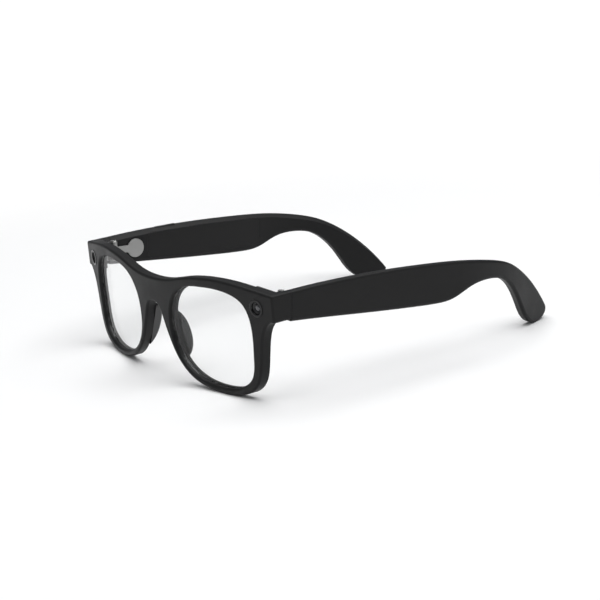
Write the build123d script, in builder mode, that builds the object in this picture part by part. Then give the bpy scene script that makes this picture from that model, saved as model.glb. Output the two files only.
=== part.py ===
"""Smart glasses: a keyhole-bridge front with a camera and a capture light, and two folding temples.

Millimetres. +X is the wearer's left, +Y runs back along the temples, +Z is up. The glasses stand on
z = 0 on their two rims and two temple tips, and the origin lies under the middle of the whole part.
"""
from math import asin, cos, radians, sin, sqrt, tan
import os

from build123d import *

# ---- Driving dimensions -------------------------------------------------------------------------
front_width = 148.0        # across both end pieces
drawn_width = 148.0        # front width that the outline points below are drawn for
wrap_radius = 218.0        # wrap of the front, seen from above
wrap_reach = 46.0          # the front runs straight outboard of this x
front_lean = 1.1           # degrees that the front leans back at its foot
lean_height = 43.6         # the front's face passes through y = 0 at this height
rim_depth = 4.2            # front to back
front_edge_radius = 1.0
end_piece_edge_radius = 0.9
corner_depth = 5.2         # front to back at the corners that hold the camera and the light
corner_length = 12.8       # the deeper corners, inwards from the end pieces' outer faces
end_piece_drop = 11.45     # end piece, from the top of the seam to its underside
seam_y = 20.44             # top of the seam between end piece and temple
seam_z = 44.9
seam_gap = 0.15
temple_pitch = 4.97        # degrees that a temple falls towards its tip
temple_depth = 12.0        # temple height at the seam
straight_length = 85.0     # seam to the start of the inward bend
temple_spread = 0.9        # how far a temple leans out by the start of its bend
temple_root_thickness = 5.6
temple_tip_thickness = 4.6
tip_radius = 3.2
bend_radius = 105.0        # inward bend of the tip, on the outer face
bend_angle = 19.5          # degrees of that bend, after which the tip runs straight
temple_edge_radius = 1.2
bevel_width = 2.4          # bevel along a temple's inner top edge, across the top
bevel_drop = 1.6           # and down the inner face
lens_thickness = 1.8
lens_depth = 1.4           # front face of the rim to the front of the lens groove
groove_depth = 0.6
fit_gap = 0.05             # between pieces that seat in each other
slide_gap = 0.15           # between a moving key and its pocket
inside_gap = 0.1           # between what is in a cavity and its cover

cavity_start = 20.0        # temple cavity, measured from the seam
cavity_end = 80.0
cavity_floor = 10.4        # lowest part of the cavity, below the top of the seam
cavity_depth = 3.3         # inner face to the bottom of the cavity
cover_thickness = 1.1
cover_lip = 0.9            # how far the cover overlaps the shell around the cavity

hinge_y = 0.1              # hinge axis, behind the seam
rivet_radius = 0.6
rivet_y = -3.4
rivet_heights = (-8.2, -3.0)
hinge_inset = 1.8          # hinge axis, inboard of the temple's inner face
knuckle_radius = 1.7
pin_radius = 0.7
pin_clearance = 0.05
hinge_top = -1.4           # top and bottom of the hinge, below the top of the seam
hinge_bottom = -9.8
middle_knuckle = 3.2
knuckle_gap = 0.1
leaf_thickness = 1.0
leaf_inlay = 0.5           # how deep a temple leaf is let into the shell
disc_radius = 4.25
disc_reach = 12.3          # seam to the middle of the round plate

camera_inset = 8.8         # camera and capture light, from the end pieces' outer faces
camera_z = 38.7
bezel_radius = 3.5
bezel_proud = 0.2
window_radius = 2.4
bezel_seat = 1.2           # depth of the bezel's seat
module_size = 4.4
module_depth = 4.1         # front face to the back of the module

brow_channel = 1.9         # channel for the flex along the back of the brow
brow_channel_depth = 1.5
contact_radius = 1.0
contact_depth = 0.7
contact_proud = 0.3
contact_spacing = 6.0
contact_z = 36.6
microphone_z = 34.5
microphone_length = 4.0
microphone_width = 1.5
microphone_depth = 1.6
microphone_sunk = 0.3

pad_x = 11.2               # middle of the nose pad, where it meets the rim
pad_z = 19.2
pad_length = 23.5          # nose pad, along the nose
pad_reach = 6.0            # how far it stands behind the rim
pad_thickness = 3.4
pad_splay = 16.0           # degrees that it opens towards the back
pad_lean = 26.0            # degrees that it leans out towards the foot

board_thickness = 0.8
chip_thickness = 0.8
speaker_thickness = 1.9
battery_thickness = 1.9
sensor_thickness = 0.15
speaker_reach = 27.5       # middle of the speaker, from the seam
speaker_length = 12.0
speaker_width = 6.0
speaker_z = -6.6
grille_inset = 2.6         # middle of the grille, from the temple's outer face at the seam
grille_length = 10.0
grille_width = 1.8
grille_thickness = 0.5

button_reach = 30.0        # capture button, from the seam
button_length = 11.0
button_width = 1.8
button_inset = 1.8         # middle of the button, from the temple's outer face at the seam
button_travel = 0.4
button_top = 2.3           # top face of the temple above the top of the seam, at the button
button_proud = 0.25
button_drop = 2.6          # depth of the button below the temple's top face
button_pocket = 3.4        # and of the pocket that it moves in
switch_reach = 39.0        # power switch, from the seam to the middle of its travel
switch_length = 5.0
switch_height = 2.2
switch_travel = 2.0
switch_proud = 0.45

# ---- Planes -------------------------------------------------------------------------------------
half_width = front_width / 2
x_stretch = front_width / drawn_width
corner_start = half_width - corner_length
camera_x = half_width - camera_inset
wrap_angle = asin(wrap_reach / wrap_radius)
pitch = radians(temple_pitch)
big = 200.0

front_view = Plane.XZ
lean_plane = Plane(
    origin=(0, 0, lean_height),
    x_dir=(1, 0, 0),
    z_dir=(0, -sin(radians(front_lean)), cos(radians(front_lean))),
)
temple_frame = Plane(origin=(0, seam_y, seam_z), x_dir=(1, 0, 0), z_dir=(0, sin(pitch), cos(pitch)))

temple_outer = half_width
temple_inner = temple_outer - temple_root_thickness
bend_outer = temple_outer + temple_spread
bend_inner = bend_outer - temple_tip_thickness
hinge_x = temple_inner - hinge_inset


# The seam, looked at from behind: local y is up, and the normal points forwards.
seam_plane = Plane(origin=temple_frame.origin, x_dir=(1, 0, 0), z_dir=temple_frame.y_dir * -1)


def side_plane(x):
    """Side view of a temple: local x runs back along it, local y up."""
    origin = temple_frame.from_local_coords((x, 0, 0))
    return Plane(origin=origin, x_dir=temple_frame.y_dir, z_dir=(1, 0, 0))


def inner_plane(side, depth=0.0):
    """The flat inner face of a temple, moved outboard by depth. Its normal points along +X."""
    lean_out = side * (bend_inner - temple_inner)
    along = temple_frame.from_local_coords((lean_out, straight_length, 0)) - temple_frame.origin
    origin = temple_frame.from_local_coords((side * temple_inner, 0, 0))
    face = Plane(origin=origin, x_dir=along, z_dir=along.cross(temple_frame.z_dir))
    return face.offset(side * depth)


def corner_plane(side, depth=0.0):
    """The front face at the camera (side 1) or the capture light (side -1), normal pointing out."""
    run = camera_x - wrap_reach
    y = wrap_radius - wrap_radius * cos(wrap_angle) + run * tan(wrap_angle)
    local_z = camera_z - lean_height
    origin = lean_plane.from_local_coords((side * camera_x, y, local_z))
    normal = lean_plane.from_local_coords((side * sin(wrap_angle), -cos(wrap_angle), 0)) - lean_plane.origin
    face = Plane(origin=origin, x_dir=normal.cross(lean_plane.z_dir) * -1, z_dir=normal)
    return face.offset(-depth)


# ---- Shared shapes ------------------------------------------------------------------------------
top_points = [(0, 42.8), (14, 43.9), (24.3, 46.1), (36.4, 47.6), (50.3, 47.5), (64.9, 45.9), (74, 44.75)]
rim_points = [
    (0, 32.3), (3.2, 31.5), (5.2, 29.2), (7, 25), (10.1, 18), (13.6, 12), (17.8, 7.4), (25, 3.0),
    (35.1, 0.6), (43.5, 0.0), (52.1, 1.0), (58.8, 3.7), (62.9, 8.5), (64.6, 14), (65.7, 20.5),
    (67.2, 27.5), (68.9, 31.3), (71.5, 33.8),
]
lens_points = [
    (36.5, 43.5), (49.9, 42.5), (57.6, 38.6), (60.6, 31.0), (60.5, 18.0), (58.6, 9.2), (52.0, 4.3),
    (41.0, 2.7), (29.0, 4.3), (19.6, 9.0), (14.0, 16.2), (12.3, 26.5), (14.6, 34.8), (22.5, 41.5),
]
brow_line = [(0, 40.4), (13, 41.9), (24, 44.0), (36.5, 45.5), (50, 44.9), (60.0, 43.0)]
temple_top_points = [
    (0, 0), (15, 1.4), (30, 2.3), (50, 2.9), (66, 2.9), (82, 2.5), (95, 1.4), (104, 0.1), (114, -2.3),
    (123, -6.5), (131.2, -12), (139, -18.8), (147.2, -28.0),
]
temple_bottom_points = [
    (147.2, -28.0), (143.8, -31.7), (138.5, -33.0), (133.5, -32.1), (128.5, -28.3), (124.2, -22.2),
    (119.8, -16.2), (115, -11.6), (109.4, -8.6), (103.5, -7.6), (97.5, -7.7), (90.5, -9.2), (84, -12.0),
    (79, -13.6), (72, -14.2), (56, -14.0), (38, -13.4), (19, -12.6), (0, -temple_depth),
]
lens_steps = 28            # points along a grown lens outline


def stretched(points):
    """Points of the front, spread with its width."""
    return [(x * x_stretch, z) for x, z in points]


def both_halves(points):
    """The points of one half, outwards from the middle, with their mirror images before them."""
    right = stretched(points)
    return [(-x, z) for x, z in right[:0:-1]] + right


def silhouette():
    """The front seen square on, as a prism through the whole depth."""
    with BuildPart() as prism:
        with BuildSketch(front_view):
            with BuildLine():
                brow = Spline(*both_halves(top_points))
                foot = Spline(*both_halves(rim_points))
                for hand, at in ((-1, 0), (1, 1)):
                    Polyline(brow @ at, (hand * half_width, rim_points[-1][1]), foot @ at)
            make_face()
        extrude(amount=-big)
    return prism.part


def slab(near, far):
    """What lies between two depths behind the wrapped front face."""
    run = big / 2
    with BuildPart() as layer:
        with BuildSketch(lean_plane):
            with BuildLine():
                tips = []
                for depth in (near, far):
                    radius = wrap_radius - depth
                    end = (radius * sin(wrap_angle), wrap_radius - radius * cos(wrap_angle))
                    tip = (end[0] + run * cos(wrap_angle), end[1] + run * sin(wrap_angle))
                    ThreePointArc((-end[0], end[1]), (0, depth), end)
                    Line(end, tip)
                    Line((-end[0], end[1]), (-tip[0], tip[1]))
                    tips.append(tip)
                for hand in (1, -1):
                    Line((hand * tips[0][0], tips[0][1]), (hand * tips[1][0], tips[1][1]))
            make_face()
        extrude(amount=run, both=True)
    return layer.part


def lens_prism(hand, grow=0.0):
    """One lens outline, grown outwards, as a prism through the front."""
    with BuildPart() as prism:
        with BuildSketch(front_view):
            with BuildLine():
                drawn = Spline(*stretched(lens_points), periodic=True, mode=Mode.PRIVATE)
                grown = []
                for step in range(lens_steps):
                    out = (drawn % (step / lens_steps)).rotate(Axis.Z, 90)
                    at = (drawn @ (step / lens_steps)) + out * grow
                    grown.append((hand * at.X, at.Y))
                Spline(*grown, periodic=True)
            make_face()
        extrude(amount=-big)
    return prism.part


def brow_strip(half_height, shorten=0.0):
    """A prism through the middle of the brow, from corner to corner."""
    line = [(x * (1 - shorten / half_width), z) for x, z in both_halves(brow_line)]
    with BuildPart() as prism:
        with BuildSketch(front_view):
            with BuildLine():
                upper = Spline(*[(x, z + half_height) for x, z in line])
                lower = Spline(*[(x, z - half_height) for x, z in line])
                for at in (0, 1):
                    Line(upper @ at, lower @ at)
            make_face()
        extrude(amount=-big)
    return prism.part


def temple_outline(side, top_points, bottom_points):
    """A closed side view of a temple as a thick prism."""
    with BuildPart() as prism:
        with BuildSketch(side_plane(side * big / 10)):
            with BuildLine():
                upper = Spline(*top_points)
                lower = Spline(*bottom_points)
                Line(upper @ 0, lower @ 1)
            make_face()
            fillet(vertices().sort_by(Axis.X)[-1], tip_radius)
        extrude(amount=side * big / 2)
    return prism.part


def temple_plan(side):
    """A temple seen from above: straight from the seam, bent inwards, and straight to its tip."""
    centre_x = bend_outer - bend_radius
    turn = radians(bend_angle)
    run = big / 4
    with BuildPart() as prism:
        with BuildSketch(temple_frame):
            with BuildLine():
                paths = []
                for start_x, bend_x in ((temple_outer, bend_outer), (temple_inner, bend_inner)):
                    radius = bend_x - centre_x
                    middle = (centre_x + radius * cos(turn / 2), straight_length + radius * sin(turn / 2))
                    end = (centre_x + radius * cos(turn), straight_length + radius * sin(turn))
                    tip = (end[0] - run * sin(turn), end[1] + run * cos(turn))
                    path = [(start_x, seam_gap), (bend_x, straight_length), middle, end, tip]
                    path = [(side * x, y) for x, y in path]
                    Line(path[0], path[1])
                    ThreePointArc(path[1], path[2], path[3])
                    Line(path[3], path[4])
                    paths.append(path)
                for end in (0, -1):
                    Line(paths[0][end], paths[1][end])
            make_face()
        extrude(amount=big / 2, both=True)
    return prism.part


def bevel_prism(hand):
    """What lies under the bevel along a temple's inner top edge, which follows the bend of the tip."""
    slope = bevel_drop / bevel_width
    inboard = 30.0
    radius = bend_radius - temple_tip_thickness
    turn = radians(bend_angle)
    upper_points = []
    for y, z in temple_top_points:
        past = max(0, y - straight_length)
        on_arc = min(past, radius * sin(turn))
        bent_in = radius - sqrt(radius ** 2 - on_arc ** 2) + (past - on_arc) * tan(turn)
        upper_points.append((y, z - bevel_drop - slope * (inboard - bent_in)))
    face = inner_plane(hand, -inboard)
    outwards = face.z_dir * hand * bevel_width + temple_frame.z_dir * bevel_drop
    with BuildPart() as prism:
        with BuildSketch(face):
            with BuildLine():
                upper = Spline(*upper_points)
                Polyline(upper @ 1, (upper_points[-1][0] + 5, -big / 2), (0, -big / 2), upper @ 0)
            make_face()
        extrude(amount=big / 4, dir=outwards.normalized())
    return prism.part


def prism_between(plane, near, far, *outline, corner=0.0):
    """A polygon drawn on a plane, as a solid between two depths along the plane's normal."""
    with BuildPart() as prism:
        with BuildSketch(plane.offset(near)):
            with BuildLine():
                Polyline(*outline, close=True)
            make_face()
            if corner:
                fillet(vertices(), corner)
        extrude(amount=far - near)
    return prism.part


def block(plane, length, width, near, far, middle=(0, 0), corner=0.0):
    """A rectangle about a middle point, as a solid between two depths."""
    x, y = middle
    outline = [(x + i * length / 2, y + j * width / 2) for i, j in ((-1, -1), (1, -1), (1, 1), (-1, 1))]
    return prism_between(plane, near, far, *outline, corner=corner)


def key_shape(plane, length, width, near, far, middle=(0, 0)):
    """A round-ended key, as a solid between two depths."""
    with BuildPart() as prism:
        with BuildSketch(plane.offset(near)):
            with Locations(middle):
                SlotOverall(length, width)
        extrude(amount=far - near)
    return prism.part


def disc(plane, radius, near, far, middle=(0, 0)):
    """A round solid between two depths."""
    with BuildPart() as prism:
        with BuildSketch(plane.offset(near)):
            with Locations(middle):
                Circle(radius)
        extrude(amount=far - near)
    return prism.part


def rim_edges(faces):
    """The outer edges of a patch of faces, without the seams inside it."""
    every = [edge for face in faces for edge in face.edges()]
    return [edge for edge in every if sum(edge.is_same(other) for other in every) == 1]


sides = {"left": 1, "right": -1}
pieces = {}

# ---- Front --------------------------------------------------------------------------------------
outer = silhouette()
groove_slab = slab(lens_depth - fit_gap, lens_depth + lens_thickness + fit_gap)
corner_height = (rim_points[-1][1], top_points[3][1] + 1)

with BuildPart() as front_frame:
    add(outer)
    add(slab(0, rim_depth), mode=Mode.INTERSECT)
    for hand in (1, -1):
        add(lens_prism(hand), mode=Mode.SUBTRACT)
        camera_corner = [
            (hand * corner_start, corner_height[0]), (hand * big / 2, corner_height[0]),
            (hand * big / 2, corner_height[1]), (hand * corner_start, corner_height[1]),
        ]
        add(outer & slab(0, corner_depth) & prism_between(front_view, -big, 0, *camera_corner))
        end_section = [
            (hand * temple_inner, -big / 10), (hand * big, -big / 10), (hand * big, 0),
            (hand * (temple_inner + bevel_width), 0), (hand * temple_inner, -bevel_drop),
        ]
        end_prism = prism_between(seam_plane, 0, big / 4, *end_section)
        end_zone = prism_between(front_view, -big, 0, *camera_corner)
        add(outer & slab(0, big / 5) & end_prism & end_zone)
    front_faces = [f for f in front_frame.faces() if f.normal_at().Y < -0.9]
    fillet(rim_edges(front_faces), front_edge_radius)
    outboard = [e for e in front_frame.edges() if half_width - abs(e.center().X) < fit_gap]
    fillet([e for e in outboard if e.tangent_at(0.5).Y ** 2 > 0.9], end_piece_edge_radius)

    for hand in (1, -1):
        add(lens_prism(hand, groove_depth) & groove_slab, mode=Mode.SUBTRACT)
        seat = corner_plane(hand)
        add(disc(seat, bezel_radius + fit_gap, -bezel_seat, 2), mode=Mode.SUBTRACT)
        add(disc(seat, window_radius + groove_depth, -module_depth - fit_gap, 0), mode=Mode.SUBTRACT)
    add(brow_strip(brow_channel / 2) & slab(rim_depth - brow_channel_depth, rim_depth), mode=Mode.SUBTRACT)
    rear_of_bridge = front_view.offset(-rim_depth)
    for hand in (1, -1):
        contact = (hand * contact_spacing / 2, contact_z)
        add(disc(rear_of_bridge, contact_radius + fit_gap, -1, contact_depth, contact), mode=Mode.SUBTRACT)
    pocket_length, pocket_width = microphone_length + 2 * fit_gap, microphone_width + 2 * fit_gap
    pocket = block(rear_of_bridge, pocket_length, pocket_width, -1, microphone_depth, (0, microphone_z))
    add(pocket, mode=Mode.SUBTRACT)

for name, hand in sides.items():
    with BuildPart() as lens:
        add(lens_prism(hand, groove_depth - fit_gap))
        add(slab(lens_depth, lens_depth + lens_thickness), mode=Mode.INTERSECT)
    pieces[f"lens_{name}"] = lens

    seat = corner_plane(hand)
    kind = {1: "camera", -1: "light"}[hand]
    with BuildPart() as bezel:
        add(disc(seat, bezel_radius, -bezel_seat, bezel_proud))
        add(disc(seat, window_radius, -bezel_seat, bezel_proud), mode=Mode.SUBTRACT)
        chamfer(bezel.edges().filter_by(GeomType.CIRCLE).sort_by(SortBy.RADIUS)[:2].sort_by(Axis.Y)[:1], 0.35)
    pieces[f"{kind}_bezel"] = bezel
    with BuildPart() as window:
        add(disc(seat, window_radius - fit_gap, -bezel_seat, -0.5))
    pieces[f"{kind}_window"] = window
    with BuildPart() as module:
        add(disc(seat, window_radius - 0.2, -2.4, -bezel_seat))
        add(block(seat, module_size, module_size, -module_depth, -2.4, corner=0.4))
    pieces[f"{kind}_module"] = module

    lean_out = Vector(hand * sin(radians(pad_lean)), 0, -cos(radians(pad_lean)))
    across = Vector(hand * cos(radians(pad_lean)), 0, sin(radians(pad_lean)))
    back = Vector(0, 1, 0) * cos(radians(pad_splay)) + across * sin(radians(pad_splay))
    pad_plane = Plane(origin=(hand * pad_x * x_stretch, rim_depth, pad_z), x_dir=back, z_dir=back.cross(lean_out) * -1)
    with BuildPart() as pad:
        with BuildSketch(pad_plane.offset(-hand * pad_thickness / 2)):
            with BuildLine():
                start = (-3, pad_length * 0.5)
                front_run = Line(start, (-3, -pad_length * 0.5))
                Spline(
                    start, (pad_reach * 0.55, pad_length * 0.4), (pad_reach, 0.02 * pad_length),
                    (pad_reach * 0.55, -pad_length * 0.38), front_run @ 1,
                )
            make_face()
        extrude(amount=hand * pad_thickness)
        fillet(pad.edges().filter_by(lambda edge: edge.length > pad_length * 1.05), pad_thickness * 0.44)
        add(slab(rim_depth, big / 5), mode=Mode.INTERSECT)
    pieces[f"nose_pad_{name}"] = pad

with BuildPart() as brow_cover:
    add(brow_strip(brow_channel / 2 - fit_gap, fit_gap))
    add(slab(rim_depth - cover_thickness, rim_depth), mode=Mode.INTERSECT)
pieces["brow_cover"] = brow_cover
with BuildPart() as brow_flex:
    add(brow_strip(brow_channel / 2 - 0.2, 0.4))
    add(slab(rim_depth - brow_channel_depth, rim_depth - brow_channel_depth + 0.2), mode=Mode.INTERSECT)
pieces["brow_flex"] = brow_flex
with BuildPart() as charge_contacts:
    for hand in (1, -1):
        contact = (hand * contact_spacing / 2, contact_z)
        add(disc(rear_of_bridge, contact_radius, -contact_proud, contact_depth, contact))
pieces["charge_contacts"] = charge_contacts
with BuildPart() as bridge_microphone:
    middle = (0, microphone_z)
    near, far = microphone_sunk, microphone_depth - fit_gap
    add(block(rear_of_bridge, microphone_length, microphone_width, near, far, middle, corner=0.2))
pieces["bridge_microphone"] = bridge_microphone

# ---- Hinges -------------------------------------------------------------------------------------
middle_z = (hinge_top + hinge_bottom) / 2
middle_low = middle_z - middle_knuckle / 2
middle_high = middle_z + middle_knuckle / 2
outer_runs = ((hinge_bottom, middle_low - knuckle_gap), (middle_high + knuckle_gap, hinge_top))
web_out = hinge_x + knuckle_radius
web_in = hinge_x + knuckle_radius - leaf_thickness
leaf_start = -4.4
leaf_end = -knuckle_radius - 0.3

for name, hand in sides.items():
    axis_at = (hand * hinge_x, hinge_y)
    with BuildPart() as front_leaf:
        plate_middle = (hand * (temple_inner - leaf_thickness / 2), (leaf_start + leaf_end) / 2)
        plate_length = leaf_end - leaf_start
        add(block(temple_frame, leaf_thickness, plate_length, hinge_bottom, hinge_top, plate_middle))
        for low, high in outer_runs:
            web_length = hinge_y - leaf_end
            web_middle = (hand * (web_out + web_in) / 2, (hinge_y + leaf_end) / 2)
            add(disc(temple_frame, knuckle_radius, low, high, axis_at))
            add(block(temple_frame, leaf_thickness, web_length, low, high, web_middle))
            reach = (hand * (temple_inner + web_in) / 2, leaf_end - 0.3)
            add(block(temple_frame, temple_inner - web_in, 0.6, low, high, reach))
        add(disc(temple_frame, pin_radius, hinge_bottom - 1, hinge_top + 1, axis_at), mode=Mode.SUBTRACT)
        for z in rivet_heights:
            rivet_hole = disc(side_plane(hand * (temple_inner - 2)), rivet_radius, 0, 4 * hand, (rivet_y, z))
            add(rivet_hole, mode=Mode.SUBTRACT)
    pieces[f"hinge_front_leaf_{name}"] = front_leaf

    with BuildPart() as temple_leaf:
        leaf_face = inner_plane(hand, -leaf_inlay)
        add(disc(leaf_face, disc_radius, 0, hand * leaf_thickness, (disc_reach, middle_z)))
        bar_start = seam_gap + 1.6
        bar_middle = ((disc_reach + bar_start) / 2, middle_z)
        add(block(leaf_face, disc_reach - bar_start, middle_knuckle, 0, hand * leaf_thickness, bar_middle))
        add(disc(temple_frame, knuckle_radius, middle_low, middle_high, axis_at))
        web_length = bar_start + 1 - hinge_y
        web_middle = (hand * (web_out + web_in) / 2, hinge_y + web_length / 2)
        add(block(temple_frame, leaf_thickness, web_length, middle_low, middle_high, web_middle))
        bore = disc(temple_frame, pin_radius + pin_clearance, hinge_bottom, hinge_top, axis_at)
        add(bore, mode=Mode.SUBTRACT)
    pieces[f"hinge_temple_leaf_{name}"] = temple_leaf

    with BuildPart() as hinge_screw:
        add(disc(temple_frame, pin_radius, hinge_bottom, hinge_top, axis_at))
        add(disc(temple_frame, pin_radius + 0.6, hinge_top, hinge_top + 0.7, axis_at))
        slot = block(temple_frame, 0.3, 4, hinge_top + 0.4, hinge_top + 1, axis_at)
        add(slot, mode=Mode.SUBTRACT)
    pieces[f"hinge_screw_{name}"] = hinge_screw

    with BuildPart() as temple_rivet:
        rivet_root = inner_plane(hand, leaf_thickness - leaf_inlay)
        add(disc(rivet_root, rivet_radius, 0, hand * 2.5, (disc_reach, middle_z)))
    pieces[f"temple_rivet_{name}"] = temple_rivet

with BuildPart() as front_rivets:
    for hand in (1, -1):
        for z in rivet_heights:
            base = side_plane(hand * (temple_inner - leaf_thickness))
            add(disc(base, rivet_radius, 0, hand * (leaf_thickness + 2.5), (rivet_y, z)))
            add(disc(base, rivet_radius + 0.2, -0.3 * hand, 0, (rivet_y, z)))
pieces["front_rivets"] = front_rivets

with BuildPart(mode=Mode.PRIVATE) as end_piece_holes:
    for hand in (1, -1):
        for z in rivet_heights:
            base = side_plane(hand * temple_inner)
            add(disc(base, rivet_radius, 0, hand * 2.5, (rivet_y, z)))
with front_frame:
    add(end_piece_holes.part, mode=Mode.SUBTRACT)
pieces["front_frame"] = front_frame

# ---- Temples ------------------------------------------------------------------------------------
cavity_outline = [
    (cavity_start, -cavity_floor), (50, -11.6), (cavity_end, -10.7),
    (cavity_end, 0.2), (50, 0.4), (cavity_start, -0.6),
]


def cavity(hand, near, far, grow=0.0):
    """The temple's cavity between two depths from its inner face."""
    with BuildPart() as room:
        with BuildSketch(inner_plane(hand, near)):
            with BuildLine():
                Polyline(*cavity_outline, close=True)
            make_face()
            fillet(vertices(), 1.5)
            if grow:
                offset(amount=grow)
        extrude(amount=hand * (far - near))
    return room.part


button_slope = 0.06
button_plane = Plane(
    origin=temple_frame.from_local_coords((button_inset - temple_outer, button_reach, button_top)),
    x_dir=temple_frame.y_dir + temple_frame.z_dir * button_slope,
    z_dir=temple_frame.z_dir - temple_frame.y_dir * button_slope,
)
switch_middle = (switch_reach, -5.0)

for name, hand in sides.items():
    with BuildPart() as shell:
        add(temple_outline(hand, temple_top_points, temple_bottom_points))
        add(temple_plan(hand), mode=Mode.INTERSECT)
        rear_edges = [e for e in shell.edges() if temple_frame.to_local_coords(e.center()).Y > 1]
        fillet(rear_edges, temple_edge_radius)
        add(bevel_prism(hand), mode=Mode.INTERSECT)
        add(cavity(hand, -1, cavity_depth), mode=Mode.SUBTRACT)
        add(cavity(hand, -1, cover_thickness + fit_gap, cover_lip + fit_gap), mode=Mode.SUBTRACT)
        leaf_pocket = inner_plane(hand, -1)
        deep = hand * (1 + leaf_thickness - leaf_inlay)
        add(disc(leaf_pocket, disc_radius + fit_gap, 0, deep, (disc_reach, middle_z)), mode=Mode.SUBTRACT)
        bar_middle = (disc_reach / 2 - 1, middle_z)
        bar = block(leaf_pocket, disc_reach + 2, middle_knuckle + 2 * fit_gap, 0, deep, bar_middle)
        add(bar, mode=Mode.SUBTRACT)
        rivet_hole = disc(leaf_pocket, rivet_radius, 0, deep + hand * 2.5, (disc_reach, middle_z))
        add(rivet_hole, mode=Mode.SUBTRACT)
        slot_middle = (hand * (temple_outer - grille_inset), speaker_reach)
        with BuildSketch(temple_frame.offset(-big / 10)):
            with Locations(slot_middle):
                SlotOverall(grille_length, grille_width, rotation=90)
        extrude(amount=big / 10 - cavity_floor + 1, mode=Mode.SUBTRACT)
        if hand == -1:
            pocket_size = (button_length + 2 * slide_gap, button_width + 2 * slide_gap)
            add(key_shape(button_plane, *pocket_size, -button_pocket, 2), mode=Mode.SUBTRACT)
    pieces[f"temple_shell_{name}"] = shell

    with BuildPart() as cover:
        add(cavity(hand, 0, cover_thickness, cover_lip))
        if hand == 1:
            slot_length = switch_length + switch_travel + 2 * slide_gap
            slot_width = switch_height + 2 * slide_gap
            add(key_shape(inner_plane(1), slot_length, slot_width, -1, 3, switch_middle), mode=Mode.SUBTRACT)
    pieces[f"temple_cover_{name}"] = cover

    with BuildPart() as grille:
        with BuildSketch(temple_frame.offset(-cavity_floor - 1.6)):
            with Locations(slot_middle):
                SlotOverall(grille_length - 2 * fit_gap, grille_width - 2 * fit_gap, rotation=90)
        extrude(amount=grille_thickness)
    pieces[f"speaker_grille_{name}"] = grille

    with BuildPart() as speaker:
        back = inner_plane(hand, cover_thickness + inside_gap)
        middle = (speaker_reach, speaker_z)
        add(block(back, speaker_length, speaker_width, 0, hand * speaker_thickness, middle, corner=1.2))
    pieces[f"speaker_{name}"] = speaker

    with BuildPart() as microphone:
        add(block(inner_plane(hand, cavity_depth - 1.1), 3.0, 2.0, 0, hand * 1.1, (24.5, -2.2)))
    pieces[f"microphone_{name}"] = microphone

board_face = cavity_depth - board_thickness
board_middle = (57.5, -5.4)
with BuildPart() as main_board:
    add(block(inner_plane(1, board_face), 44, 8.6, 0, board_thickness, board_middle, corner=0.8))
pieces["main_board"] = main_board
with BuildPart() as board_chips:
    for at, length, width in ((48, 7, 6), (57, 8, 7), (66.5, 6, 5), (74, 4, 4)):
        chip_face = inner_plane(1, board_face - chip_thickness)
        add(block(chip_face, length, width, 0, chip_thickness, (at, board_middle[1])))
pieces["board_chips"] = board_chips
with BuildPart() as switch_body:
    switch_face = cover_thickness + 0.7
    add(block(inner_plane(1, switch_face), 7.0, 3.2, 0, board_face - switch_face, switch_middle))
pieces["switch_body"] = switch_body
battery_middle = (58.5, -5.4)
with BuildPart() as battery:
    battery_face = inner_plane(-1, cover_thickness + inside_gap)
    add(block(battery_face, 38, 9.0, 0, -battery_thickness, battery_middle, corner=1.0))
pieces["battery"] = battery
with BuildPart() as touch_sensor:
    sensor_face = inner_plane(-1, cavity_depth - sensor_thickness)
    add(block(sensor_face, 34, 8.0, 0, -sensor_thickness, battery_middle))
pieces["touch_sensor"] = touch_sensor
with BuildPart() as button_switch:
    add(block(button_plane, 5.0, 1.6, -button_pocket - 1.0, -button_pocket + 0.3, (0, -0.9)))
pieces["button_switch"] = button_switch

# ---- Keys ---------------------------------------------------------------------------------------
with BuildPart() as capture_button:
    add(key_shape(button_plane, button_length, button_width, -button_drop, button_proud))
    fillet(capture_button.faces().sort_by(Axis.Z)[-1].edges(), 0.3)
pieces["capture_button"] = capture_button

with BuildPart() as power_switch:
    rest = (switch_reach - switch_travel / 2, switch_middle[1])
    behind_cover = cover_thickness + inside_gap
    add(key_shape(inner_plane(1), switch_length, switch_height, -switch_proud, behind_cover, rest))
    fillet(power_switch.faces().sort_by(Axis.X)[0].edges(), 0.25)
    add(block(inner_plane(1, behind_cover), 8.4, 3.6, 0, 0.5, rest))
pieces["power_switch"] = power_switch

# ---- Stand the glasses on the ground, centred over the origin ------------------------------------
whole = Compound([pieces[name].part for name in ("front_frame", "temple_shell_left", "temple_shell_right")])
extent = whole.bounding_box()
stand = Location((0, -(extent.min.Y + extent.max.Y) / 2, -extent.min.Z))

os.makedirs("parts", exist_ok=True)
for name, piece in pieces.items():
    placed = piece.part.moved(stand)
    placed.label = name
    export_step(placed, f"parts/{name}.step")
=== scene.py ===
"""Looks of the smart glasses: materials, small visible details, floor, light and camera. Metres."""
import math

import bmesh
import bpy
import numpy as np
from mathutils import Matrix, Vector


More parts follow.
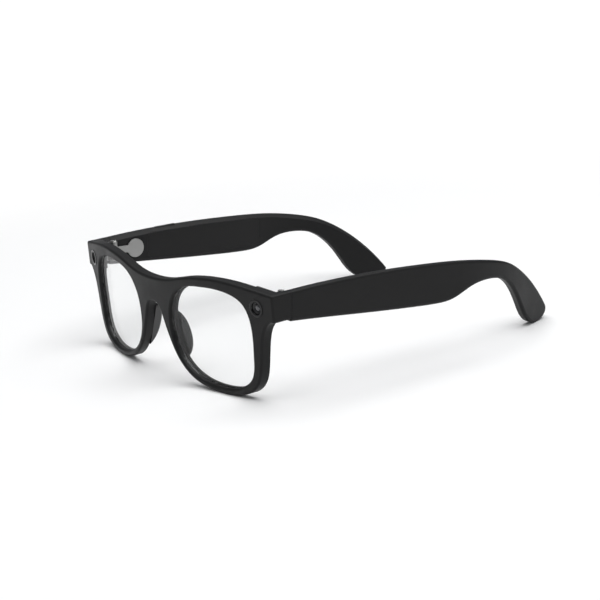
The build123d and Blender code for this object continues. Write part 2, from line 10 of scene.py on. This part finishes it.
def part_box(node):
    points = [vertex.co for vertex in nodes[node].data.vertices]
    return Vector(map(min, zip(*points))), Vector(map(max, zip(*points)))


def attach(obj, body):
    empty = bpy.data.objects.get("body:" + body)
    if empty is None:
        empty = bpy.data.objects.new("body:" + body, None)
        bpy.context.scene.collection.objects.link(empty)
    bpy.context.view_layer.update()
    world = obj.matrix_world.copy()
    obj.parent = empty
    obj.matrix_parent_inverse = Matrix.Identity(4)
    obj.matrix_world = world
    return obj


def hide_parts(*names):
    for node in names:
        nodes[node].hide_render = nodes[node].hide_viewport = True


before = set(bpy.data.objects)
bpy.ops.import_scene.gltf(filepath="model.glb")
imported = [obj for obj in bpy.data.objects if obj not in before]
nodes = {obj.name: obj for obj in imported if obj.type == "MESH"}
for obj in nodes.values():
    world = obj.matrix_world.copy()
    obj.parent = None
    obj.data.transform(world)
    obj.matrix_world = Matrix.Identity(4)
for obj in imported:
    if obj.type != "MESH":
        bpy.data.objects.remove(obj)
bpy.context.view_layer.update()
MM = 0.001

# ---- Places taken from the frame -----------------------------------------------------------------
FRONT_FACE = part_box("front_frame")[0].y


def disc_place(name):
    """Middle of a flat node, its normal turned towards -Y, and its two depths along that normal."""
    points = np.array([v.co for v in nodes[name].data.vertices])
    middle = (points.min(0) + points.max(0)) / 2
    spread = np.linalg.svd(points - points.mean(0), full_matrices=False)[2][2]
    normal = Vector(spread)
    if normal.y > 0:
        normal.negate()
    depth = (points - middle) @ np.array(normal)
    return Vector(middle), normal.normalized(), depth.min(), depth.max()


# ---- Materials -----------------------------------------------------------------------------------
# Noise scales are per metre, so 1500 has features of under a millimetre.
CLOUD_SCALE = 90.0         # slow changes of colour and gloss
SPECK_SCALE = 1500.0       # fine changes of gloss, and where an edge is worn
SMEAR_SCALE = 140.0        # smears on glass
RIPPLE_SCALE = 700.0
BUMP_HEIGHT = 0.03 * MM
RIPPLE_HEIGHT = 0.01 * MM
NOISE_LOW, NOISE_HIGH = 0.3, 0.7      # the part of the noise that moves the gloss
SMEAR_LOW, SMEAR_HIGH = 0.4, 0.75
WORN_LOW, WORN_HIGH = 0.45, 0.62      # fine noise above this is a worn place
GLOSS_SWING = 0.05         # how far the slow noise moves the roughness
GLOSS_SPECK = 0.03         # and how far the fine noise does
EDGE_POLISH = 0.06         # how much smoother plastic is on its edges
EDGE_START, EDGE_FULL = 0.995, 0.86   # cosine between the softened and the true normal
WEAR_GAIN, WEAR_LIFT = 1.9, 0.012     # a worn edge is this much lighter
COAT_ROUGHNESS = 0.08
MIX_A, MIX_B, MIX_COLOUR = 6, 7, 2    # colour sockets of a Mix node


def new_material(name):
    material = bpy.data.materials.new(name)
    material.use_nodes = True
    return material, material.node_tree.nodes, material.node_tree.links


def node(tree, kind, inputs=None, **settings):
    made = tree.new(kind)
    for key, value in settings.items():
        setattr(made, key, value)
    for key, value in (inputs or {}).items():
        made.inputs[key].default_value = value
    return made


def noise(tree, links, place, scale, detail=4.0, rough=0.55):
    made = node(tree, "ShaderNodeTexNoise", {"Scale": scale, "Detail": detail, "Roughness": rough})
    links.new(place, made.inputs["Vector"])
    return made.outputs["Fac"]


def span(tree, links, value, low, high, to_low, to_high):
    """A value mapped from one range to another."""
    made = node(tree, "ShaderNodeMapRange",
                {"From Min": low, "From Max": high, "To Min": to_low, "To Max": to_high})
    links.new(value, made.inputs["Value"])
    return made.outputs["Result"]


def maths(tree, links, operation, first, second):
    """One arithmetic step on two values. Each is a number or another node's output."""
    made = node(tree, "ShaderNodeMath", operation=operation)
    for slot, value in enumerate((first, second)):
        if isinstance(value, (int, float)):
            made.inputs[slot].default_value = value
        else:
            links.new(value, made.inputs[slot])
    return made.outputs[0]


def shade(tree, links, factor, dark, light):
    """A colour between two colours."""
    made = node(tree, "ShaderNodeMix", data_type="RGBA")
    made.inputs[MIX_A].default_value = (*dark, 1)
    made.inputs[MIX_B].default_value = (*light, 1)
    links.new(factor, made.inputs["Factor"])
    return made.outputs[MIX_COLOUR]


def surface(name, colour, rough, grain=5200.0, grain_depth=0.12, mottle=0.12, wear=0.0,
            edge=0.25 * MM, metallic=0.0, specular=0.5, brushed=None, coat=0.0):
    """A moulded, coated or brushed surface: fine grain, uneven gloss, worn edges, softened corners."""
    material, tree, links = new_material(name)
    shader = tree["Principled BSDF"]
    place = node(tree, "ShaderNodeTexCoord").outputs["Object"]
    shader.inputs["Metallic"].default_value = metallic
    shader.inputs["Specular IOR Level"].default_value = specular
    shader.inputs["Coat Weight"].default_value = coat
    shader.inputs["Coat Roughness"].default_value = COAT_ROUGHNESS
    cloud = noise(tree, links, place, CLOUD_SCALE, 5.0)
    speck = noise(tree, links, place, SPECK_SCALE, 3.0)
    dark = [c * (1 - mottle) for c in colour]
    light = [min(1, c * (1 + mottle)) for c in colour]
    tint = shade(tree, links, cloud, dark, light)

    bevel = node(tree, "ShaderNodeBevel", {"Radius": edge}, samples=6)
    geometry = node(tree, "ShaderNodeNewGeometry")
    dot = node(tree, "ShaderNodeVectorMath", operation="DOT_PRODUCT")
    links.new(bevel.outputs["Normal"], dot.inputs[0])
    links.new(geometry.outputs["Normal"], dot.inputs[1])
    edge_mask = span(tree, links, dot.outputs["Value"], EDGE_START, EDGE_FULL, 0, 1)
    worn = maths(tree, links, "MULTIPLY", edge_mask, span(tree, links, speck, WORN_LOW, WORN_HIGH, 0, 1))
    wear_mix = node(tree, "ShaderNodeMix", data_type="RGBA")
    worn_colour = [min(1, c * WEAR_GAIN + WEAR_LIFT) for c in colour]
    wear_mix.inputs[MIX_B].default_value = (*worn_colour, 1)
    links.new(tint, wear_mix.inputs[MIX_A])
    links.new(maths(tree, links, "MULTIPLY", worn, wear), wear_mix.inputs["Factor"])
    links.new(wear_mix.outputs[MIX_COLOUR], shader.inputs["Base Color"])

    uneven = span(tree, links, cloud, NOISE_LOW, NOISE_HIGH, rough - GLOSS_SWING, rough + GLOSS_SWING)
    fine = span(tree, links, speck, NOISE_LOW, NOISE_HIGH, -GLOSS_SPECK, GLOSS_SPECK)
    gloss = maths(tree, links, "ADD", uneven, fine)
    polish = maths(tree, links, "MULTIPLY", edge_mask, EDGE_POLISH * (1 - metallic))
    links.new(maths(tree, links, "SUBTRACT", gloss, polish), shader.inputs["Roughness"])

    height = noise(tree, links, place, grain, 2.0)
    if brushed:
        direction, scale = brushed
        rings = node(tree, "ShaderNodeTexWave", {"Scale": scale, "Distortion": 1.2, "Detail": 3.0},
                     wave_type="RINGS", rings_direction=direction)
        links.new(place, rings.inputs["Vector"])
        strokes = maths(tree, links, "MULTIPLY", rings.outputs["Fac"], 0.5)
        height = maths(tree, links, "ADD", height, strokes)
    bump = node(tree, "ShaderNodeBump", {"Strength": grain_depth, "Distance": BUMP_HEIGHT})
    links.new(height, bump.inputs["Height"])
    links.new(bevel.outputs["Normal"], bump.inputs["Normal"])
    links.new(bump.outputs["Normal"], shader.inputs["Normal"])
    return material


def clear_glass(name, tint, rough=0.015, index=1.5, coat=0.0):
    """Clear glass with a faint smear in its gloss. Light for shadows passes straight through."""
    material, tree, links = new_material(name)
    shader = tree["Principled BSDF"]
    shader.inputs["Base Color"].default_value = (*tint, 1)
    shader.inputs["Transmission Weight"].default_value = 1.0
    shader.inputs["IOR"].default_value = index
    shader.inputs["Coat Weight"].default_value = coat
    shader.inputs["Coat Roughness"].default_value = rough
    place = node(tree, "ShaderNodeTexCoord").outputs["Object"]
    smear = noise(tree, links, place, SMEAR_SCALE, 6.0)
    gloss = span(tree, links, smear, SMEAR_LOW, SMEAR_HIGH, rough * 0.3, rough * 1.6)
    links.new(gloss, shader.inputs["Roughness"])
    ripple = node(tree, "ShaderNodeBump", {"Strength": 0.015, "Distance": RIPPLE_HEIGHT})
    links.new(noise(tree, links, place, RIPPLE_SCALE, 2.0), ripple.inputs["Height"])
    links.new(ripple.outputs["Normal"], shader.inputs["Normal"])
    clear = node(tree, "ShaderNodeBsdfTransparent", {"Color": (*tint, 1)})
    rays = node(tree, "ShaderNodeLightPath")
    mix = node(tree, "ShaderNodeMixShader")
    links.new(rays.outputs["Is Shadow Ray"], mix.inputs["Fac"])
    links.new(shader.outputs[0], mix.inputs[1])
    links.new(clear.outputs[0], mix.inputs[2])
    links.new(mix.outputs[0], tree["Material Output"].inputs["Surface"])
    return material


SATIN_BLACK = (0.0055, 0.0055, 0.0058)
MATERIALS = {
    "frame": surface("satin_black_frame", SATIN_BLACK, 0.44, wear=0.3, specular=0.22),
    "shell": surface("satin_black_shell", SATIN_BLACK, 0.44, wear=0.3, specular=0.22),
    "pad": surface("glossy_black_pad", (0.004, 0.004, 0.0045), 0.22, grain=2600, grain_depth=0.05,
                   specular=0.3),
    "cover": surface("matte_black_cover", (0.0065, 0.0065, 0.0068), 0.48, wear=0.25, specular=0.24),
    "key": surface("satin_black_key", (0.009, 0.009, 0.0095), 0.36, wear=0.5, specular=0.3),
    "bezel": surface("polished_black_ring", (0.003, 0.003, 0.0035), 0.2, grain_depth=0.03,
                     specular=0.25, coat=0.15),
    "part": surface("dark_moulding", (0.01, 0.01, 0.011), 0.4),
    "amber": surface("amber_film", (0.36, 0.16, 0.03), 0.35, grain_depth=0.05),
    "gold": surface("gold_contact", (0.9, 0.62, 0.24), 0.22, metallic=1.0, brushed=("Y", 2400.0)),
    "steel": surface("satin_steel", (0.3, 0.3, 0.295), 0.34, metallic=1.0, grain_depth=0.2, wear=0.3,
                     edge=0.12 * MM, brushed=("X", 1600.0)),
    "screw": surface("polished_steel", (0.62, 0.62, 0.6), 0.18, metallic=1.0, brushed=("Z", 2600.0),
                     edge=0.1 * MM),
    "grille": surface("dark_grille", (0.05, 0.05, 0.052), 0.38, metallic=0.8, grain=2200, grain_depth=0.5),
    "board": surface("green_board", (0.02, 0.11, 0.05), 0.35, grain=2600, grain_depth=0.2),
    "foil": surface("battery_foil", (0.5, 0.5, 0.5), 0.28, metallic=0.9, grain=700, grain_depth=0.4),
    "lens": clear_glass("clear_lens", (0.93, 0.935, 0.935), index=1.02, coat=0.5),
    "window": clear_glass("window_glass", (0.9, 0.92, 0.95)),
    "core": surface("optic_core", (0.004, 0.005, 0.012), 0.08, grain_depth=0.02, mottle=0.5, coat=1.0),
    "lamp": surface("lamp_diffuser", (0.45, 0.44, 0.4), 0.3, grain=2400, grain_depth=0.2),
}
USES = {
    "frame": ["front_frame"],
    "shell": ["temple_shell_left", "temple_shell_right"],
    "cover": ["temple_cover_left", "temple_cover_right", "brow_cover"],
    "pad": ["nose_pad_left", "nose_pad_right"],
    "key": ["capture_button", "power_switch"],
    "bezel": ["camera_bezel", "light_bezel"],
    "part": ["camera_module", "light_module", "speaker_left", "speaker_right", "board_chips", "switch_body",
             "button_switch", "microphone_left", "microphone_right", "bridge_microphone"],
    "amber": ["brow_flex", "touch_sensor"],
    "gold": ["charge_contacts"],
    "steel": ["hinge_front_leaf_left", "hinge_front_leaf_right", "hinge_temple_leaf_left",
              "hinge_temple_leaf_right"],
    "screw": ["hinge_screw_left", "hinge_screw_right", "front_rivets", "temple_rivet_left",
              "temple_rivet_right"],
    "grille": ["speaker_grille_left", "speaker_grille_right"],
    "board": ["main_board"],
    "foil": ["battery"],
    "lens": ["lens_left", "lens_right"],
    "window": ["camera_window", "light_window"],
}
for use, names in USES.items():
    for name in names:
        nodes[name].data.materials.clear()
        nodes[name].data.materials.append(MATERIALS[use])


# ---- Extra pieces --------------------------------------------------------------------------------
def place_mesh(name, mesh, body, material, replaces=()):
    """Add a mesh as a piece that rides on a body, in the place of the nodes it replaces."""
    made = bpy.data.objects.new(name, mesh)
    bpy.context.scene.collection.objects.link(made)
    made.data.materials.append(material)
    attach(made, body)
    if replaces:
        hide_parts(*replaces)
    return made


def lathe(name, profile, middle, axis, steps=64):
    """A closed turned form. The profile's points are (radius, height along the axis), in metres."""
    turn = axis.to_track_quat("Z", "Y").to_matrix()
    shape = bmesh.new()
    rings = []
    for radius, height in profile:
        if radius == 0:
            rings.append([shape.verts.new(middle + axis * height)])
            continue
        ring = []
        for step in range(steps):
            angle = 2 * math.pi * step / steps
            local = Vector((radius * math.cos(angle), radius * math.sin(angle), height))
            ring.append(shape.verts.new(middle + turn @ local))
        rings.append(ring)
    for low, high in zip(rings, rings[1:]):
        for step in range(steps):
            after = (step + 1) % steps
            if len(low) == 1:
                shape.faces.new((low[0], high[step], high[after]))
            elif len(high) == 1:
                shape.faces.new((low[step], low[after], high[0]))
            else:
                shape.faces.new((low[step], low[after], high[after], high[step]))
    bmesh.ops.recalc_face_normals(shape, faces=shape.faces)
    mesh = bpy.data.meshes.new(name)
    shape.to_mesh(mesh)
    shape.free()
    for face in mesh.polygons:
        face.use_smooth = True
    return mesh


OPTIC_RADIUS = 2.3 * MM
BARREL_PROFILE = [(0, 0), (1, 0), (1, 1), (0.9, 1), (0.86, 0.7), (0.66, 0.55), (0.64, 0.3), (0, 0.3)]
DOME_FOOT, DOME_EDGE, DOME_RISE = 0.32, 0.34, 0.5   # heights, as shares of the window's depth
DOME_STEPS = 8


def add_optics(kind, dome_share, finish):
    """A stepped black barrel with a domed element in it, in the place of a plain window."""
    middle, normal, low, high = disc_place(f"{kind}_window")
    depth = high - low
    base = middle + normal * low
    barrel = [(OPTIC_RADIUS * out, depth * up) for out, up in BARREL_PROFILE]
    name = f"{kind}_barrel"
    place_mesh(name, lathe(name, barrel, base, normal), "front", MATERIALS["part"])

    dome_radius = OPTIC_RADIUS * dome_share
    dome = [(0, depth * DOME_FOOT), (dome_radius, depth * DOME_FOOT)]
    for step in range(1, DOME_STEPS):
        angle = math.pi / 2 * step / DOME_STEPS
        height = depth * (DOME_EDGE + DOME_RISE * math.sin(angle))
        dome.append((dome_radius * math.cos(angle), height))
    dome.append((0, depth * (DOME_EDGE + DOME_RISE)))
    name = f"{kind}_element"
    place_mesh(name, lathe(name, dome, base, normal), "front", MATERIALS[finish],
               replaces=(f"{kind}_window",))


EYELET_ROWS, EYELET_COLUMNS, EYELET_SIDES = 2, 14, 12
EYELET_SPACING = 0.62 * MM
EYELET_HOLE = 0.2 * MM
EYELET_FLARE = 1.45        # outer radius over inner radius
EYELET_DROP = 0.27 * MM    # below the middle of the grille
ROW_STAGGER = 0.5          # in spacings


def add_eyelets(side):
    """Two staggered rows of round eyelets on the underside of a speaker grille."""
    middle, normal, _, _ = disc_place(f"speaker_grille_{side}")
    along = Vector((0, -normal.z, normal.y)).normalized()
    if along.y < 0:
        along.negate()
    across = Vector((1, 0, 0))
    underside = Vector((0, 0, -EYELET_DROP))
    turns = [2 * math.pi * step / EYELET_SIDES for step in range(EYELET_SIDES)]
    sieve = bmesh.new()
    for row in range(EYELET_ROWS):
        for column in range(EYELET_COLUMNS):
            run = column - (EYELET_COLUMNS - 1) / 2 + row * ROW_STAGGER - ROW_STAGGER / 2
            offset = along * (run * EYELET_SPACING)
            offset += across * ((row - (EYELET_ROWS - 1) / 2) * EYELET_SPACING)
            inner, outer = [
                [sieve.verts.new(middle + offset + underside + reach * (
                    across * math.cos(turn) + along * math.sin(turn))) for turn in turns]
                for reach in (EYELET_HOLE, EYELET_HOLE * EYELET_FLARE)
            ]
            for step in range(EYELET_SIDES):
                after = (step + 1) % EYELET_SIDES
                sieve.faces.new((inner[step], inner[after], outer[after], outer[step]))
    name = f"grille_eyelets_{side}"
    mesh = bpy.data.meshes.new(name)
    sieve.to_mesh(mesh)
    sieve.free()
    place_mesh(name, mesh, f"temple_{side}", MATERIALS["screw"])


add_optics("camera", 0.6, "core")
add_optics("light", 0.62, "lamp")
for side in ("left", "right"):
    add_eyelets(side)

# ---- Floor, light and camera ---------------------------------------------------------------------
FLOOR_SIZE = 6
FLOOR_DROP = 0.02 * MM
GLOW_START, GLOW_FULL = 0.22, 0.5   # distance from the middle over which the floor turns plain white


def add_floor():
    """A pale floor that fades to plain white away from the object."""
    grid = bmesh.new()
    bmesh.ops.create_grid(grid, x_segments=2, y_segments=2, size=FLOOR_SIZE)
    mesh = bpy.data.meshes.new("floor")
    grid.to_mesh(mesh)
    grid.free()
    floor = bpy.data.objects.new("floor", mesh)
    floor.location.z = -FLOOR_DROP
    bpy.context.scene.collection.objects.link(floor)
    pale = surface("pale_floor", (0.93, 0.93, 0.93), 0.7, grain=300, grain_depth=0.02, mottle=0.005,
                   specular=0.2)
    floor.data.materials.append(pale)

    tree, links = pale.node_tree.nodes, pale.node_tree.links
    glow = node(tree, "ShaderNodeEmission", {"Color": (1, 1, 1, 1), "Strength": 1.05})
    spot = node(tree, "ShaderNodeTexCoord").outputs["Object"]
    reach = node(tree, "ShaderNodeVectorMath", operation="LENGTH")
    links.new(spot, reach.inputs[0])
    fade = node(tree, "ShaderNodeMapRange", {"From Min": GLOW_START, "From Max": GLOW_FULL},
                interpolation_type="SMOOTHSTEP")
    links.new(reach.outputs["Value"], fade.inputs["Value"])
    blend = node(tree, "ShaderNodeMixShader")
    links.new(fade.outputs["Result"], blend.inputs["Fac"])
    links.new(tree["Principled BSDF"].outputs[0], blend.inputs[1])
    links.new(glow.outputs[0], blend.inputs[2])
    links.new(blend.outputs[0], tree["Material Output"].inputs["Surface"])


def area_light(name, place, size, power, aim=Vector((0, 0, 0.02))):
    """A rectangular light turned to face a point just above the floor."""
    data = bpy.data.lights.new(name, "AREA")
    data.shape = "RECTANGLE"
    data.size, data.size_y = size
    data.energy = power
    made = bpy.data.objects.new(name, data)
    made.location = place
    made.rotation_euler = (aim - Vector(place)).to_track_quat("-Z", "Y").to_euler()
    bpy.context.scene.collection.objects.link(made)


add_floor()
area_light("top_softbox", (0.1, 0.1, 1.1), (1.5, 1.5), 17)
area_light("front_softbox", (-0.5, -1.1, 0.7), (0.9, 0.7), 0.9)
area_light("side_softbox", (1.2, 0.9, 0.55), (0.9, 0.5), 1.6)


def add_world():
    """A weak, nearly white light from all round. The camera sees plain white in its place."""
    world = bpy.data.worlds.new("studio")
    bpy.context.scene.world = world
    world.use_nodes = True
    tree, links = world.node_tree.nodes, world.node_tree.links
    seen = node(tree, "ShaderNodeBackground", {"Color": (1, 1, 1, 1), "Strength": 1.0})
    lit = tree["Background"]
    lit.inputs["Color"].default_value = (0.95, 0.97, 1, 1)
    lit.inputs["Strength"].default_value = 0.25
    rays = node(tree, "ShaderNodeLightPath")
    mix = node(tree, "ShaderNodeMixShader")
    links.new(rays.outputs["Is Camera Ray"], mix.inputs["Fac"])
    links.new(lit.outputs[0], mix.inputs[1])
    links.new(seen.outputs[0], mix.inputs[2])
    links.new(mix.outputs[0], tree["World Output"].inputs["Surface"])
    bpy.context.scene.view_settings.view_transform = "Standard"


AZIMUTH, ELEVATION, ROLL = (math.radians(angle) for angle in (56.097, 15.058, -4.473))
DISTANCE = 0.77141
FOCAL_LENGTH = 106.67      # millimetres, on a sensor 36 mm wide
TARGET = Vector((0.00739, FRONT_FACE + 0.06876, 0.01913))


def add_camera():
    """The camera at the photograph's angle: azimuth 0 looks along +Y, and the roll is about its axis."""
    level = math.cos(ELEVATION)
    back = Vector((math.sin(AZIMUTH) * level, -math.cos(AZIMUTH) * level, math.sin(ELEVATION)))
    right = Vector((math.cos(AZIMUTH), math.sin(AZIMUTH), 0))
    up = back.cross(right)
    x_axis = right * math.cos(ROLL) + up * math.sin(ROLL)
    y_axis = up * math.cos(ROLL) - right * math.sin(ROLL)
    data = bpy.data.cameras.new("camera")
    data.lens = FOCAL_LENGTH
    data.sensor_width = 36.0
    data.clip_start = 0.01
    camera = bpy.data.objects.new("camera", data)
    turned = Matrix((x_axis, y_axis, back)).transposed().to_4x4()
    camera.matrix_world = Matrix.Translation(TARGET + back * DISTANCE) @ turned
    bpy.context.scene.collection.objects.link(camera)
    bpy.context.scene.camera = camera


add_world()
add_camera()
